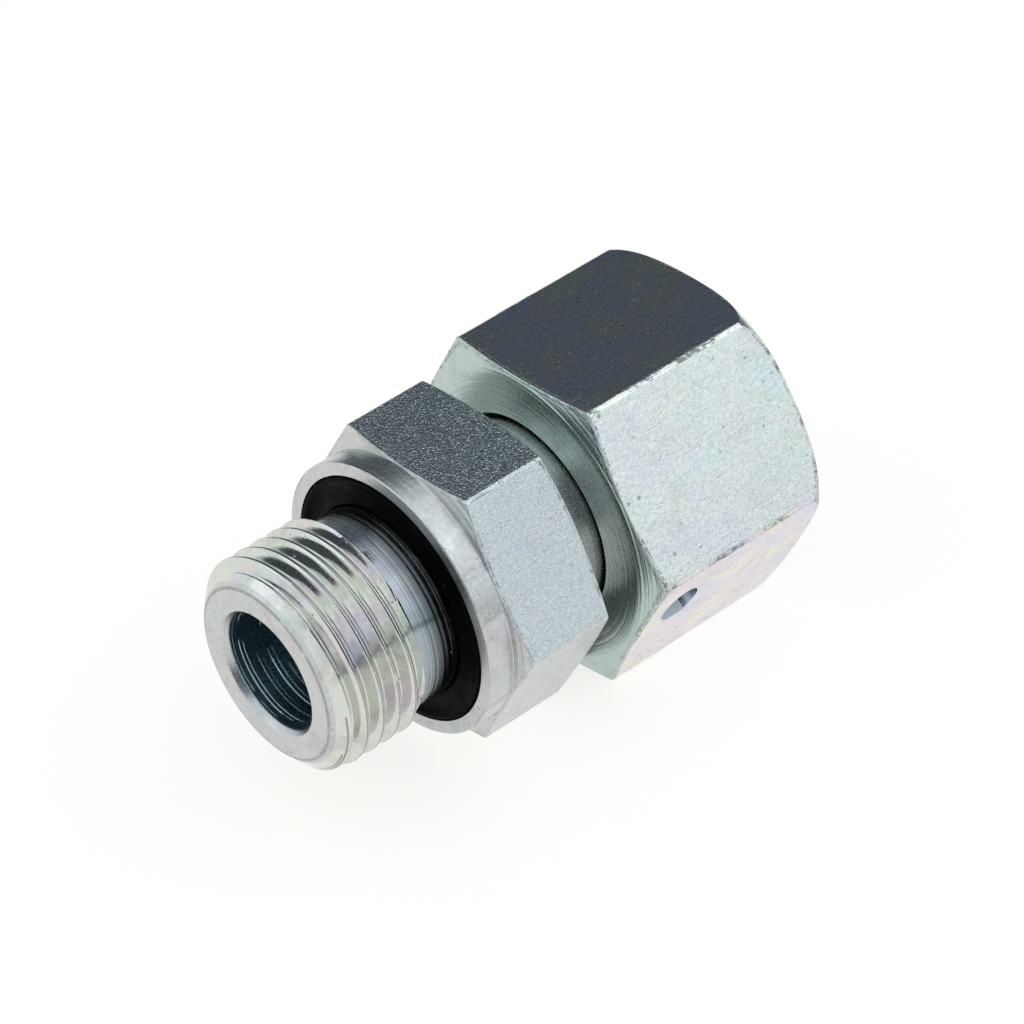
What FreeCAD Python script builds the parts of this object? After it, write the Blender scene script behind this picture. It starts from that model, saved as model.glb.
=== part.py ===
"""Straight hydraulic adapter: a male stud with a parallel pipe thread, and a swivel nut over a sealed cone.

Millimetres. +X runs along the flow axis from the stud to the nut's open end, and +Z is up.
The origin is on the axis, in the plane of the collar that closes on the port.
The adapter lies on one flat of the nut. A spring wire in two facing grooves holds the nut on the body.
Threads are plain cylinders here: the stud's at its crests, and the nut's at its bore.
"""
import FreeCAD, Part
import math
import os

# Stud that screws into the port, for a 1/2 inch parallel pipe thread
STUD_LENGTH = 14.0
STUD_MAJOR_D = 20.7
STUD_LEAD_D = 16.8
STUD_LEAD_LENGTH = 1.6
UNDERCUT_D = 18.5
UNDERCUT_WIDTH = 3.7
UNDERCUT_FILLET = 0.4

# Flow bore through the whole body
BORE_D = 11.5
BORE_MOUTH_D = 12.3
BORE_MOUTH_LENGTH = 0.7

# Collar with the recess that holds the port seal
COLLAR_D = 26.8
COLLAR_LENGTH = 2.6
COLLAR_EDGE = 0.15
SEAL_SEAT_D = 24.2
SEAL_SEAT_DEPTH = 1.45

# Hexagon of the body
BODY_FLATS = 27.0
BODY_HEX_END = 12.5
BODY_HEX_END_D = 26.0
HEX_CHAMFER_ANGLE = 15.0
BODY_HEX_TURN = 2.0

# Shank that the nut turns on, and the 24 degree cone in front of it
SHANK_D = 19.1
SHANK_FILLET = 0.3
CONE_START = 25.8
CONE_TIP = 34.4
CONE_HALF_ANGLE = 12.0
CONE_TIP_CHAMFER = 0.35

# Swivel nut
NUT_FLATS = 30.0
NUT_START = 16.4
NUT_LENGTH = 21.0
NUT_NEAR_FACE_D = 28.4
NUT_CORNER_STOCK = 0.06
NUT_NECK_CLEARANCE = 0.3
NUT_NECK_LENGTH = 8.4
NUT_NECK_CHAMFER = 0.3
NUT_RELIEF_D = 24.4
NUT_RELIEF_LENGTH = 1.7
NUT_THREAD_MINOR_D = 22.4
NUT_MOUTH_D = 24.6
NUT_MOUTH_LENGTH = 1.1
NUT_MOUTH_RIM = 1.9

# Retaining wire, its two grooves and the hole that it is fed in through
WIRE_D = 2.5
WIRE_FROM_NUT_START = 4.5
WIRE_NUT_CLEARANCE = 0.05
WIRE_BODY_CLEARANCE = 0.2
WIRE_ARC_ANGLE = 340.0
WIRE_HOLE_CLEARANCE = 0.75
WIRE_HOLE_OFFSET = 2.8
WIRE_END_BELOW_FLAT = 2.6

# Port seal, a profile ring with a lip at each edge
SEAL_SEAT_CLEARANCE = 0.15
SEAL_PROUD = 0.05
SEAL_BORE_CLEARANCE = 0.05
SEAL_LIP_WIDTH = 0.45
SEAL_DISH_DEPTH = 0.3
SEAL_DISH_SLOPE = 0.5
SEAL_EDGE_ROUND = 0.12

# O-ring in the cone
O_RING_SECTION = 2.4
O_RING_GROOVE_D = 13.7
O_RING_GROOVE_PLAY = 0.5
O_RING_GROOVE_START = 0.8
O_RING_CLEARANCE = 0.03

# Places and radii that follow from the sizes above
STUD_R = STUD_MAJOR_D / 2
UNDERCUT_R = UNDERCUT_D / 2
COLLAR_R = COLLAR_D / 2
SHANK_R = SHANK_D / 2
BORE_R = BORE_D / 2
HEX_SLOPE = math.tan(math.radians(HEX_CHAMFER_ANGLE))
CONE_SLOPE = math.tan(math.radians(CONE_HALF_ANGLE))
NUT_END = NUT_START + NUT_LENGTH
NUT_NECK_R = SHANK_R + NUT_NECK_CLEARANCE
WIRE_R = WIRE_D / 2
WIRE_X = NUT_START + WIRE_FROM_NUT_START
WIRE_RING_R = (SHANK_R + NUT_NECK_R) / 2
O_RING_GROOVE_WIDTH = O_RING_SECTION + O_RING_GROOVE_PLAY
O_RING_X = CONE_START + O_RING_GROOVE_START + O_RING_GROOVE_WIDTH / 2

AXIS_POINT = FreeCAD.Vector(0, 0, 0)
AXIS = FreeCAD.Vector(1, 0, 0)
FULL_TURN = 360.0
HEX_SIDES = 6
SECTOR = math.radians(FULL_TURN / HEX_SIDES)

# How far a cutting or crossing solid runs past the faces that it makes
OVERRUN = 1.0


def corner_radius(flats):
    """Radius through the corners of a hexagon, from its width across flats."""
    return flats / 2 / math.cos(SECTOR / 2)


def rounded_face(outline):
    """Face in the XZ plane from (x, r) corners; a third value rounds that corner with a tangent arc."""
    edges = []
    starts = []
    ends = []
    for i, corner in enumerate(outline):
        here = FreeCAD.Vector(corner[0], 0, corner[1])
        before = FreeCAD.Vector(outline[i - 1][0], 0, outline[i - 1][1])
        after_corner = outline[(i + 1) % len(outline)]
        after = FreeCAD.Vector(after_corner[0], 0, after_corner[1])
        radius = corner[2] if len(corner) > 2 else 0
        if radius:
            to_before = (before - here).normalize()
            to_after = (after - here).normalize()
            half = to_before.getAngle(to_after) / 2
            reach = radius / math.tan(half)
            inward = (to_before + to_after).normalize()
            start = here + to_before * reach
            end = here + to_after * reach
            middle = here + inward * (radius / math.sin(half) - radius)
            edges.append(Part.Arc(start, middle, end).toShape())
        else:
            start = here
            end = here
        starts.append(start)
        ends.append(end)
    for i in range(len(outline)):
        edges.append(Part.LineSegment(ends[i - 1], starts[i]).toShape())
    return Part.Face(Part.Wire(Part.__sortEdges__(edges)))


def turned(outline):
    """Solid turned about the flow axis from an outline of (x, r) corners."""
    return rounded_face(outline).revolve(AXIS_POINT, AXIS, FULL_TURN)


def hexagon(flats, start, end, turn):
    """Hexagonal bar along the axis, with a flat on top, turned about the axis by an angle in degrees."""
    radius = corner_radius(flats)
    points = []
    for i in range(HEX_SIDES + 1):
        angle = SECTOR * i + math.radians(turn)
        points.append(FreeCAD.Vector(start, radius * math.cos(angle), radius * math.sin(angle)))
    face = Part.Face(Part.makePolygon(points))
    return face.extrude(AXIS * (end - start))


def wire_groove(clearance):
    """Ring that cuts half of the round groove, in the shank or in the nut."""
    return Part.makeTorus(WIRE_RING_R, WIRE_R + clearance, FreeCAD.Vector(WIRE_X, 0, 0), AXIS)


def fitting_body():
    """Stud, collar, hexagon, shank and cone, turned and milled from one hexagonal bar."""
    blank_r = corner_radius(BODY_FLATS)
    face_x = -STUD_LENGTH
    ramp = STUD_R - UNDERCUT_R
    tip_r = SHANK_R - (CONE_TIP - CONE_START) * CONE_SLOPE
    groove_start = O_RING_X - O_RING_GROOVE_WIDTH / 2
    groove_end = O_RING_X + O_RING_GROOVE_WIDTH / 2
    groove_r = O_RING_GROOVE_D / 2
    on_cone = lambda x: SHANK_R - (x - CONE_START) * CONE_SLOPE
    outline = [
        (face_x, BORE_MOUTH_D / 2),
        (face_x, STUD_LEAD_D / 2),
        (face_x + STUD_LEAD_LENGTH, STUD_R),
        (-UNDERCUT_WIDTH - ramp, STUD_R),
        (-UNDERCUT_WIDTH, UNDERCUT_R, UNDERCUT_FILLET),
        (SEAL_SEAT_DEPTH, UNDERCUT_R),
        (SEAL_SEAT_DEPTH, SEAL_SEAT_D / 2),
        (0, SEAL_SEAT_D / 2),
        (0, COLLAR_R - COLLAR_EDGE),
        (COLLAR_EDGE, COLLAR_R),
        (COLLAR_LENGTH, COLLAR_R),
        (COLLAR_LENGTH + (blank_r - COLLAR_R) * HEX_SLOPE, blank_r),
        (BODY_HEX_END - (blank_r - BODY_HEX_END_D / 2) * HEX_SLOPE, blank_r),
        (BODY_HEX_END, BODY_HEX_END_D / 2),
        (BODY_HEX_END, SHANK_R, SHANK_FILLET),
        (CONE_START, SHANK_R),
        (groove_start, on_cone(groove_start)),
        (groove_start, groove_r),
        (groove_end, groove_r),
        (groove_end, on_cone(groove_end)),
        (CONE_TIP - CONE_TIP_CHAMFER, on_cone(CONE_TIP - CONE_TIP_CHAMFER)),
        (CONE_TIP, tip_r - CONE_TIP_CHAMFER),
        (CONE_TIP, BORE_R + CONE_TIP_CHAMFER),
        (CONE_TIP - CONE_TIP_CHAMFER, BORE_R),
        (face_x + BORE_MOUTH_LENGTH, BORE_R),
    ]
    blank = turned(outline)
    collar_back = FreeCAD.Vector(COLLAR_LENGTH, 0, 0)
    milled_length = BODY_HEX_END - COLLAR_LENGTH + OVERRUN
    milled_off = Part.makeCylinder(blank_r + OVERRUN, milled_length, collar_back, AXIS)
    kept_bar = hexagon(BODY_FLATS, COLLAR_LENGTH - OVERRUN, BODY_HEX_END + 2 * OVERRUN, BODY_HEX_TURN)
    return blank.cut(milled_off.cut(kept_bar)).cut(wire_groove(WIRE_BODY_CLEARANCE))


def wire_hole_line():
    """The wire's feed line, as the point where it leaves the ring and its direction outwards.

    It is tangent to the ring and comes out through the nut's lower front flat,
    WIRE_HOLE_OFFSET above the middle of that flat.
    """
    normal = FreeCAD.Vector(0, -math.cos(SECTOR / 2), -math.sin(SECTOR / 2))
    up_flat = FreeCAD.Vector(0, -math.sin(SECTOR / 2), math.cos(SECTOR / 2))
    mouth = FreeCAD.Vector(WIRE_X, 0, 0) + normal * (NUT_FLATS / 2) + up_flat * WIRE_HOLE_OFFSET
    distance = math.hypot(NUT_FLATS / 2, WIRE_HOLE_OFFSET)
    lean = math.asin(WIRE_RING_R / distance) - math.atan2(WIRE_HOLE_OFFSET, NUT_FLATS / 2)
    outwards = normal * math.cos(lean) - up_flat * math.sin(lean)
    reach = math.sqrt(distance ** 2 - WIRE_RING_R ** 2)
    return mouth - outwards * reach, outwards, reach


def swivel_nut():
    """Hexagonal nut with a threaded mouth, a relief, and a neck that the wire holds on the shank.

    The turned blank stands NUT_CORNER_STOCK over the hexagon's corners. It has a chamfer round its near face,
    and a round shoulder that leaves a flat rim NUT_MOUTH_RIM wide round the mouth.
    """
    blank_r = corner_radius(NUT_FLATS) + NUT_CORNER_STOCK
    near_r = NUT_NEAR_FACE_D / 2
    shoulder = blank_r - NUT_MOUTH_D / 2 - NUT_MOUTH_RIM
    neck_end = NUT_START + NUT_NECK_LENGTH
    relief_end = neck_end + NUT_RELIEF_LENGTH
    outline = [
        (NUT_START, NUT_NECK_R + NUT_NECK_CHAMFER),
        (NUT_START, near_r),
        (NUT_START + (blank_r - near_r) * HEX_SLOPE, blank_r),
        (NUT_END, blank_r, shoulder),
        (NUT_END, NUT_MOUTH_D / 2),
        (NUT_END - NUT_MOUTH_LENGTH, NUT_THREAD_MINOR_D / 2),
        (relief_end, NUT_THREAD_MINOR_D / 2),
        (relief_end, NUT_RELIEF_D / 2),
        (neck_end, NUT_RELIEF_D / 2),
        (neck_end, NUT_NECK_R + NUT_NECK_CHAMFER),
        (neck_end - NUT_NECK_CHAMFER, NUT_NECK_R),
        (NUT_START + NUT_NECK_CHAMFER, NUT_NECK_R),
    ]
    nut = turned(outline).common(hexagon(NUT_FLATS, NUT_START - OVERRUN, NUT_END + OVERRUN, 0))
    leaves_ring, outwards, reach = wire_hole_line()
    hole_r = WIRE_R + WIRE_HOLE_CLEARANCE
    hole = Part.makeCylinder(hole_r, reach + 2 * hole_r, leaves_ring, outwards)
    return nut.cut(wire_groove(WIRE_NUT_CLEARANCE)).cut(hole)


def retaining_wire():
    """Round spring wire: most of a turn in the grooves, with a straight tail that stays in the feed hole."""
    leaves_ring, outwards, reach = wire_hole_line()
    centre = FreeCAD.Vector(WIRE_X, 0, 0)
    spoke = leaves_ring - centre
    turn_sign = 1 if spoke.cross(outwards).x > 0 else -1
    on_ring = lambda angle: centre + FreeCAD.Rotation(AXIS, -turn_sign * angle).multVec(spoke)
    ring = Part.Arc(on_ring(WIRE_ARC_ANGLE), on_ring(WIRE_ARC_ANGLE / 2), leaves_ring)
    tail_end = leaves_ring + outwards * (reach - WIRE_END_BELOW_FLAT)
    path = Part.Wire([ring.toShape(), Part.LineSegment(leaves_ring, tail_end).toShape()])
    section = Part.Wire(Part.makeCircle(WIRE_R, tail_end, outwards))
    return path.makePipeShell([section], True, True)


def stud_seal():
    """Moulded profile ring in the collar's recess, dished between two lips."""
    inner_r = UNDERCUT_R + SEAL_BORE_CLEARANCE
    outer_r = SEAL_SEAT_D / 2 - SEAL_SEAT_CLEARANCE
    dish_x = SEAL_DISH_DEPTH - SEAL_PROUD
    outline = [
        (SEAL_SEAT_DEPTH, inner_r),
        (SEAL_SEAT_DEPTH, outer_r),
        (-SEAL_PROUD, outer_r, SEAL_EDGE_ROUND),
        (-SEAL_PROUD, outer_r - SEAL_LIP_WIDTH, SEAL_EDGE_ROUND),
        (dish_x, outer_r - SEAL_LIP_WIDTH - SEAL_DISH_SLOPE),
        (dish_x, inner_r + SEAL_LIP_WIDTH + SEAL_DISH_SLOPE),
        (-SEAL_PROUD, inner_r + SEAL_LIP_WIDTH, SEAL_EDGE_ROUND),
        (-SEAL_PROUD, inner_r, SEAL_EDGE_ROUND),
    ]
    return turned(outline)


def cone_o_ring():
    """Rubber O-ring stretched into the groove of the cone, standing a little proud of it."""
    section_r = O_RING_SECTION / 2
    ring_r = O_RING_GROOVE_D / 2 + O_RING_CLEARANCE + section_r
    return Part.makeTorus(ring_r, section_r, FreeCAD.Vector(O_RING_X, 0, 0), AXIS)


PIECES = {
    "fitting_body": fitting_body,
    "swivel_nut": swivel_nut,
    "retaining_wire": retaining_wire,
    "stud_seal": stud_seal,
    "cone_o_ring": cone_o_ring,
}

os.makedirs("parts", exist_ok=True)
for name, make in PIECES.items():
    shape = make()
    print(name, "valid", shape.isValid(), "solids", len(shape.Solids), "volume", round(shape.Volume, 2))
    shape.exportStep("parts/" + name + ".step")
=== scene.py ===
"""Looks of a zinc-plated hydraulic adapter: threaded body, port seal, swivel nut, wire and cone O-ring.

Metres. +X runs along the flow axis from the stud to the nut's open end, +Z is up, and the adapter lies on one
flat of its nut. An angle round the axis starts at the top and grows towards the photographer's side.
"""
import bmesh
import bpy
import math
import numpy as np
from mathutils import Matrix, Vector


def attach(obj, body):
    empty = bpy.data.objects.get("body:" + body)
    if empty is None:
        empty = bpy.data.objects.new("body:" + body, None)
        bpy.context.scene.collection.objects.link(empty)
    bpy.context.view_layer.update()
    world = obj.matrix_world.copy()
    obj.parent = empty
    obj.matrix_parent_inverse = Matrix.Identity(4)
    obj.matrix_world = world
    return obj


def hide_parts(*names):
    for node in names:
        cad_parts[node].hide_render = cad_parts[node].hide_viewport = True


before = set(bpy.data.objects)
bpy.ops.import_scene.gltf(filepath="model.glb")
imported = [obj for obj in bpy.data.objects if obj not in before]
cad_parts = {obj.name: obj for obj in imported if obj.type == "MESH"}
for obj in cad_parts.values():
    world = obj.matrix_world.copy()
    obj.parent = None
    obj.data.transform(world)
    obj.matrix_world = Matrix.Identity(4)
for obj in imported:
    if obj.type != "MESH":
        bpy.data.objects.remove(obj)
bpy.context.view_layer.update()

# Threaded body. One hexagonal bar of free-cutting steel, turned to a pipe-thread stud, a collar, a shank and
# a cone, then drilled through. The hexagon keeps the bar's drawn skin; the rest shows the lathe's rings.
MM = 0.001
STUD_FACE = -14.0
STUD_LEAD_R = 8.4
STUD_LEAD = 1.6
STUD_R = 10.35
BORE_R = 5.75
BORE_MOUTH_R = 6.15
BORE_MOUTH = 0.7
PIPE_PITCH = 1.8143
PIPE_THREAD_DEPTH = 1.1617
PIPE_CREST_ROUND = 0.249
PIPE_FLANK_ANGLE = 27.5
PIPE_FIRST_ROOT = 2.96
PIPE_ROOT_TURN = 47.0
UNDERCUT_R = 9.25
# Painted shade: in the undercut it goes from light to deep across an x span towards the seal, and the lead's
# foot gets a painted dark line.
UNDERCUT_SHADE = (0.05, 0.72)
LEAD_SHADE_LINE = 0.45
UNDERCUT_SHADE_RAMP = (-3.4, -1.7)
THREAD_FADE = 0.3
THREAD_FOOT = -4.1
THREAD_END_SLOPE = 2.0
SEAL_SEAT = 1.45
SEAL_SEAT_R = 12.1
COLLAR_R = 13.4
COLLAR_END = 2.6
BODY_FLATS = 27.0
BODY_HEX_TURN = 2.0
BODY_HEX_END = 12.5
BODY_HEX_END_R = 13.0
BODY_CORNER_CUT = 0.085
HEX_CHAMFER = math.tan(math.radians(15))
SHANK_R = 9.55
WIRE_X = 20.9
WIRE_RING_R = 9.7
BODY_GROOVE_R = 1.45
CONE_START = 25.8
CONE_TIP = 34.4
CONE_SLOPE = math.tan(math.radians(12))
CONE_GROOVE = (26.6, 29.5)
CONE_GROOVE_R = 6.85
BODY_FILM = [1.0, 1.0, 2.5, 1.0, 1.0, 1.0]
SHARP_TURN = 65.0


def angles_round(turn):
    """Angles of the columns round the axis: 61 to a flat of a hexagon, crowded at its corners."""
    crowded = np.linspace(-1.2, 1.2, 11)
    open_flat = np.linspace(1.2, 58.8, 52)[1:-1]
    sector = np.concatenate([crowded, open_flat])
    return np.radians((turn + 30 + 60 * np.arange(6)[:, None] + sector).ravel())


def smaller(a, b, width):
    """The smaller of two surfaces, blended by a parabola where they are within width of each other."""
    overlap = np.maximum(width - np.abs(a - b), 0) / width
    return np.minimum(a, b) - overlap ** 2 * width / 4


def hexagon_radius(theta, flats, turn, corner_cut):
    """Distance from the axis to a hexagon: half its flats over the cosine of the angle off a flat's middle.

    A corner is cut off square to its spoke, corner_cut below its tip, as tumbling wears it.
    """
    sixth = np.radians(60)
    from_flat = (theta - np.radians(turn) + sixth / 2) % sixth - sixth / 2
    from_corner = sixth / 2 - np.abs(from_flat)
    tip = flats / 2 / math.cos(sixth / 2)
    return smaller(flats / 2 / np.cos(from_flat), (tip - corner_cut) / np.cos(from_corner), 0.02)


def eased_rows(corners, columns, steps=4):
    """Rows of (x, r) through profile corners (x, r, ease), which may differ from column to column.

    Each corner C becomes the curve (1-t)^2 A + 2t(1-t) C + t^2 B, where A and B lie on its two sides at the
    distance ease, or at 0.45 of a shorter side. The first and last corners are plain points.
    """
    pairs = [np.stack(np.broadcast_arrays(x, r), -1) for x, r, ease in corners]
    points = np.array([np.broadcast_to(pair, (columns, 2)) for pair in pairs], float)
    rows = [points[:1]]
    t = np.linspace(0, 1, steps + 1)[:, None, None]
    for i in range(1, len(corners) - 1):
        here = points[i]
        if not corners[i][2]:
            rows.append(here[None])
            continue
        back = points[i - 1] - here
        ahead = points[i + 1] - here
        back_length = np.linalg.norm(back, axis=1, keepdims=True)
        ahead_length = np.linalg.norm(ahead, axis=1, keepdims=True)
        reach = np.minimum(corners[i][2], 0.45 * np.minimum(back_length, ahead_length))
        a = here + back / back_length * reach
        b = here + ahead / ahead_length * reach
        rows.append((1 - t) ** 2 * a + 2 * t * (1 - t) * here + t ** 2 * b)
    rows.append(points[-1:])
    return np.concatenate(rows)


def pipe_thread(along):
    """Height of the 55 degree thread above its root, by distance from a root: arc, straight flank, arc."""
    from_root = np.abs((along + PIPE_PITCH / 2) % PIPE_PITCH - PIPE_PITCH / 2)
    flank = math.radians(PIPE_FLANK_ANGLE)
    arc_reach = PIPE_CREST_ROUND * math.cos(flank)
    arc_rise = PIPE_CREST_ROUND * (1 - math.sin(flank))
    root = PIPE_CREST_ROUND - np.sqrt(np.maximum(PIPE_CREST_ROUND ** 2 - from_root ** 2, 0))
    to_crest = PIPE_PITCH / 2 - from_root
    crest = PIPE_THREAD_DEPTH - PIPE_CREST_ROUND
    crest = crest + np.sqrt(np.maximum(PIPE_CREST_ROUND ** 2 - to_crest ** 2, 0))
    straight = arc_rise + (from_root - arc_reach) / math.tan(flank)
    height = np.where(from_root < arc_reach, root, straight)
    return np.where(to_crest < arc_reach, crest, height)


def helix_rows(theta, pitch, first, start, end, spots):
    """x of each row of a helix: first, plus whole turns, the spot within the pitch, and the lead so far.

    It is held between start and end, so the rows past the ends fall together there.
    """
    lead = pitch * (theta - theta[0]) / (2 * np.pi)
    turns = np.arange(math.floor((start - first) / pitch) - 1, math.ceil((end - first) / pitch) + 1)
    spots = (first + pitch * turns[:, None] + spots).ravel()
    return np.clip(spots[:, None] + lead, start, end)


def close_skin(mesh, merge=0.0, shortest=0.0):
    """Merges points within merge, dissolves edges below shortest, both in mm, and turns faces outwards."""
    form = bmesh.new()
    form.from_mesh(mesh)
    if merge:
        bmesh.ops.remove_doubles(form, verts=form.verts, dist=merge * MM)
    if shortest:
        bmesh.ops.dissolve_degenerate(form, edges=form.edges, dist=shortest * MM)
    bmesh.ops.recalc_face_normals(form, faces=form.faces)
    form.to_mesh(mesh)
    form.free()


def skin(name, theta, strips, merge=0.0008):
    """Closed mesh from strips of rows round the axis; a point is (x, -r sin a, r cos a).

    A strip is its x rows, its r rows, the rows that its last column climbs to meet the first, and each row's
    material. Rows that fall together are merged, and the faces are turned outwards.
    """
    places = []
    faces = []
    kinds = []
    count = 0
    columns = len(theta)
    for x, r, climb, kind in strips:
        rows = len(x)
        place = np.stack([x, -r * np.sin(theta), r * np.cos(theta)], -1).reshape(-1, 3)
        q, j = np.meshgrid(np.arange(rows - 1), np.arange(columns), indexing="ij")
        row_on = q + np.where(j == columns - 1, climb, 0)
        column_on = (j + 1) % columns
        here = q * columns + j
        beside = row_on * columns + column_on
        ring = np.stack([here, beside, beside + columns, here + columns], -1)
        keep = row_on + 1 < rows
        places.append(place)
        faces.append(ring[keep] + count)
        kinds.append(np.broadcast_to(np.asarray(kind), (rows,))[q[keep]])
        count += len(place)
    mesh = bpy.data.meshes.new(name)
    mesh.from_pydata((np.concatenate(places) * MM).tolist(), [], np.concatenate(faces).tolist())
    mesh.polygons.foreach_set("material_index", np.concatenate(kinds).astype(np.int32))
    close_skin(mesh, merge, merge / 4)
    return mesh


def new_object(name, data):
    """Object with this data, linked to the scene."""
    made = bpy.data.objects.new(name, data)
    bpy.context.scene.collection.objects.link(made)
    return made


def stand(name, mesh, materials, body, node):
    """Object with this mesh and these materials that rides on a body in place of its plain solid.

    Faces are smooth, apart from edges that turn by more than SHARP_TURN.
    """
    piece = new_object(name, mesh)
    for material in materials:
        mesh.materials.append(material)
    mesh.polygons.foreach_set("use_smooth", np.ones(len(mesh.polygons), bool))
    mesh.set_sharp_from_angle(angle=math.radians(SHARP_TURN))
    shading = piece.modifiers.new("Even shading", "WEIGHTED_NORMAL")
    shading.mode = "CORNER_ANGLE"
    shading.keep_sharp = True
    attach(piece, body)
    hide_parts(node)
    return piece


def places_in_mm(mesh):
    """The mesh's points, one to a row, in mm."""
    co = np.empty(len(mesh.vertices) * 3)
    mesh.vertices.foreach_get("co", co)
    return co.reshape(-1, 3) / MM


def write_values(mesh, name, values):
    """An attribute with one value for each point."""
    mesh.attributes.new(name, "FLOAT", "POINT").data.foreach_set("value", values.astype(np.float32))


def mark_surface(mesh, flats, turn, corner_cut, cone_start, flat_start, flat_end, film_sides):
    """Writes three attributes: edge, chamfer and film.

    edge is 1 on an edge of the hexagon and 0 a millimetre away. On a flat that is by the nearest of its
    corner, its start and its end, and off the flat by the depth below the hexagon. chamfer is 1 on the cone
    before the flats. film is the clear film's thickness by flat, from the top one towards the photographer.
    """
    x, y, z = places_in_mm(mesh).T
    r = np.hypot(y, z)
    theta = np.arctan2(-y, z)
    hexagon = hexagon_radius(theta, flats, turn, corner_cut)
    sixth = np.radians(60)
    from_flat = (theta - np.radians(turn) + sixth / 2) % sixth - sixth / 2
    to_corner = flats / 2 * (math.tan(sixth / 2) - np.abs(np.tan(from_flat)))
    to_start = x - flat_start(hexagon)
    to_end = flat_end(hexagon) - x
    on_flat = r > hexagon - 0.02
    nearest = np.minimum(np.abs(to_corner), np.minimum(np.abs(to_start), np.abs(to_end)))
    distance = np.where(on_flat, nearest, hexagon - r)
    beside = (x > cone_start + 0.02) & (to_start < 0) & (r > flats / 2 - 1.2) & ~on_flat
    side = np.floor((theta - np.radians(turn) + sixth / 2) / sixth).astype(int) % 6
    thickness = np.where(on_flat, np.array(film_sides)[side], film_sides[-1])
    write_values(mesh, "edge", np.clip(1 - distance, 0, 1))
    write_values(mesh, "chamfer", beside)
    write_values(mesh, "film", thickness)


def add_node(tree, kind, inputs=None, **settings):
    """A node of this kind with its settings, and for each input a value or another node's output."""
    made = tree.nodes.new(kind)
    for key, value in settings.items():
        setattr(made, key, value)
    for key, value in (inputs or {}).items():
        if isinstance(value, bpy.types.NodeSocket):
            tree.links.new(value, made.inputs[key])
        else:
            made.inputs[key].default_value = value
    return made


def new_group(name, takes, gives):
    """An empty node group, and its input and output nodes.

    takes holds each input's usual value: a number, a colour, or None for a vector. gives names the outputs,
    which are numbers apart from Color.
    """
    group = bpy.data.node_groups.new(name, "ShaderNodeTree")
    for socket, value in takes.items():
        kind = "Vector" if value is None else "Color" if isinstance(value, tuple) else "Float"
        made = group.interface.new_socket(socket, in_out="INPUT", socket_type="NodeSocket" + kind)
        if value is not None:
            made.default_value = value
    for socket in gives:
        kind = "Color" if socket == "Color" else "Float"
        group.interface.new_socket(socket, in_out="OUTPUT", socket_type="NodeSocket" + kind)
    return group, group.nodes.new("NodeGroupInput"), group.nodes.new("NodeGroupOutput")


def math_node(tree, operation, a, b=0.0, clamp=False):
    """Output of a Math node with this operation."""
    return add_node(tree, "ShaderNodeMath", {0: a, 1: b}, operation=operation, use_clamp=clamp).outputs[0]


def noise(tree, vector, scale, detail, roughness=0.5, distortion=0.0, dimensions="3D"):
    """Value of a noise texture."""
    return add_node(tree, "ShaderNodeTexNoise", {
        "Vector": vector, "Scale": scale, "Detail": detail, "Roughness": roughness, "Distortion": distortion,
    }, noise_dimensions=dimensions).outputs[0]


def times(tree, a, b):
    """Output of a Math node that multiplies."""
    return math_node(tree, "MULTIPLY", a, b)


def plus(tree, a, b):
    """Output of a Math node that adds."""
    return math_node(tree, "ADD", a, b)


def less(tree, a, b):
    """Output of a Math node that takes b from a."""
    return math_node(tree, "SUBTRACT", a, b)


def eased_mask(tree, value, low, high):
    """0 below low and 1 above high, with a smooth step between."""
    made = add_node(tree, "ShaderNodeMapRange", {0: value, 1: low, 2: high}, interpolation_type="SMOOTHSTEP")
    return made.outputs[0]


# The lathe's rings: noise over the distances along the axis and from it, so it runs round the part on a
# cylinder, a cone or a face. A slow noise lets the rings come and go. The ridges are coarser, as a chatter of
# the tool leaves them, and scores are single deeper rings of a drill.
turning, turn_in, turn_out = new_group(
    "Turning rings", {"Vector": None, "Per mm": 6.0, "Fading": 0.5, "Ridges": 0.5, "Scores": 0.0},
    ["Height", "Score"])
parts = add_node(turning, "ShaderNodeSeparateXYZ", {0: turn_in.outputs["Vector"]})
across_y = times(turning, parts.outputs[1], parts.outputs[1])
across_z = times(turning, parts.outputs[2], parts.outputs[2])
from_axis = math_node(turning, "SQRT", plus(turning, across_y, across_z))
along = add_node(turning, "ShaderNodeCombineXYZ", {0: parts.outputs[0], 1: from_axis})
rings = noise(turning, along.outputs[0], turn_in.outputs["Per mm"], 3.0, 0.65, dimensions="2D")
coarse = noise(turning, along.outputs[0], 2.2, 1.0, dimensions="2D")
slow = noise(turning, turn_in.outputs["Vector"], 0.22, 2.0)
least = less(turning, 1.0, turn_in.outputs["Fading"])
swell = add_node(turning, "ShaderNodeMapRange", {
    0: slow, 1: 0.35, 2: 0.65, 3: least, 4: 1.0}).outputs[0]
level = times(turning, less(turning, rings, 0.5), swell)
ridges = times(turning, coarse, turn_in.outputs["Ridges"])
deep = eased_mask(turning, rings, 0.57, 0.63)
score = times(turning, deep, eased_mask(turning, swell, 0.45, 0.75))
scored = times(turning, score, turn_in.outputs["Scores"])
height = plus(turning, plus(turning, level, ridges), scored)
turning.links.new(height, turn_out.inputs["Height"])
turning.links.new(score, turn_out.inputs["Score"])

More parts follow.
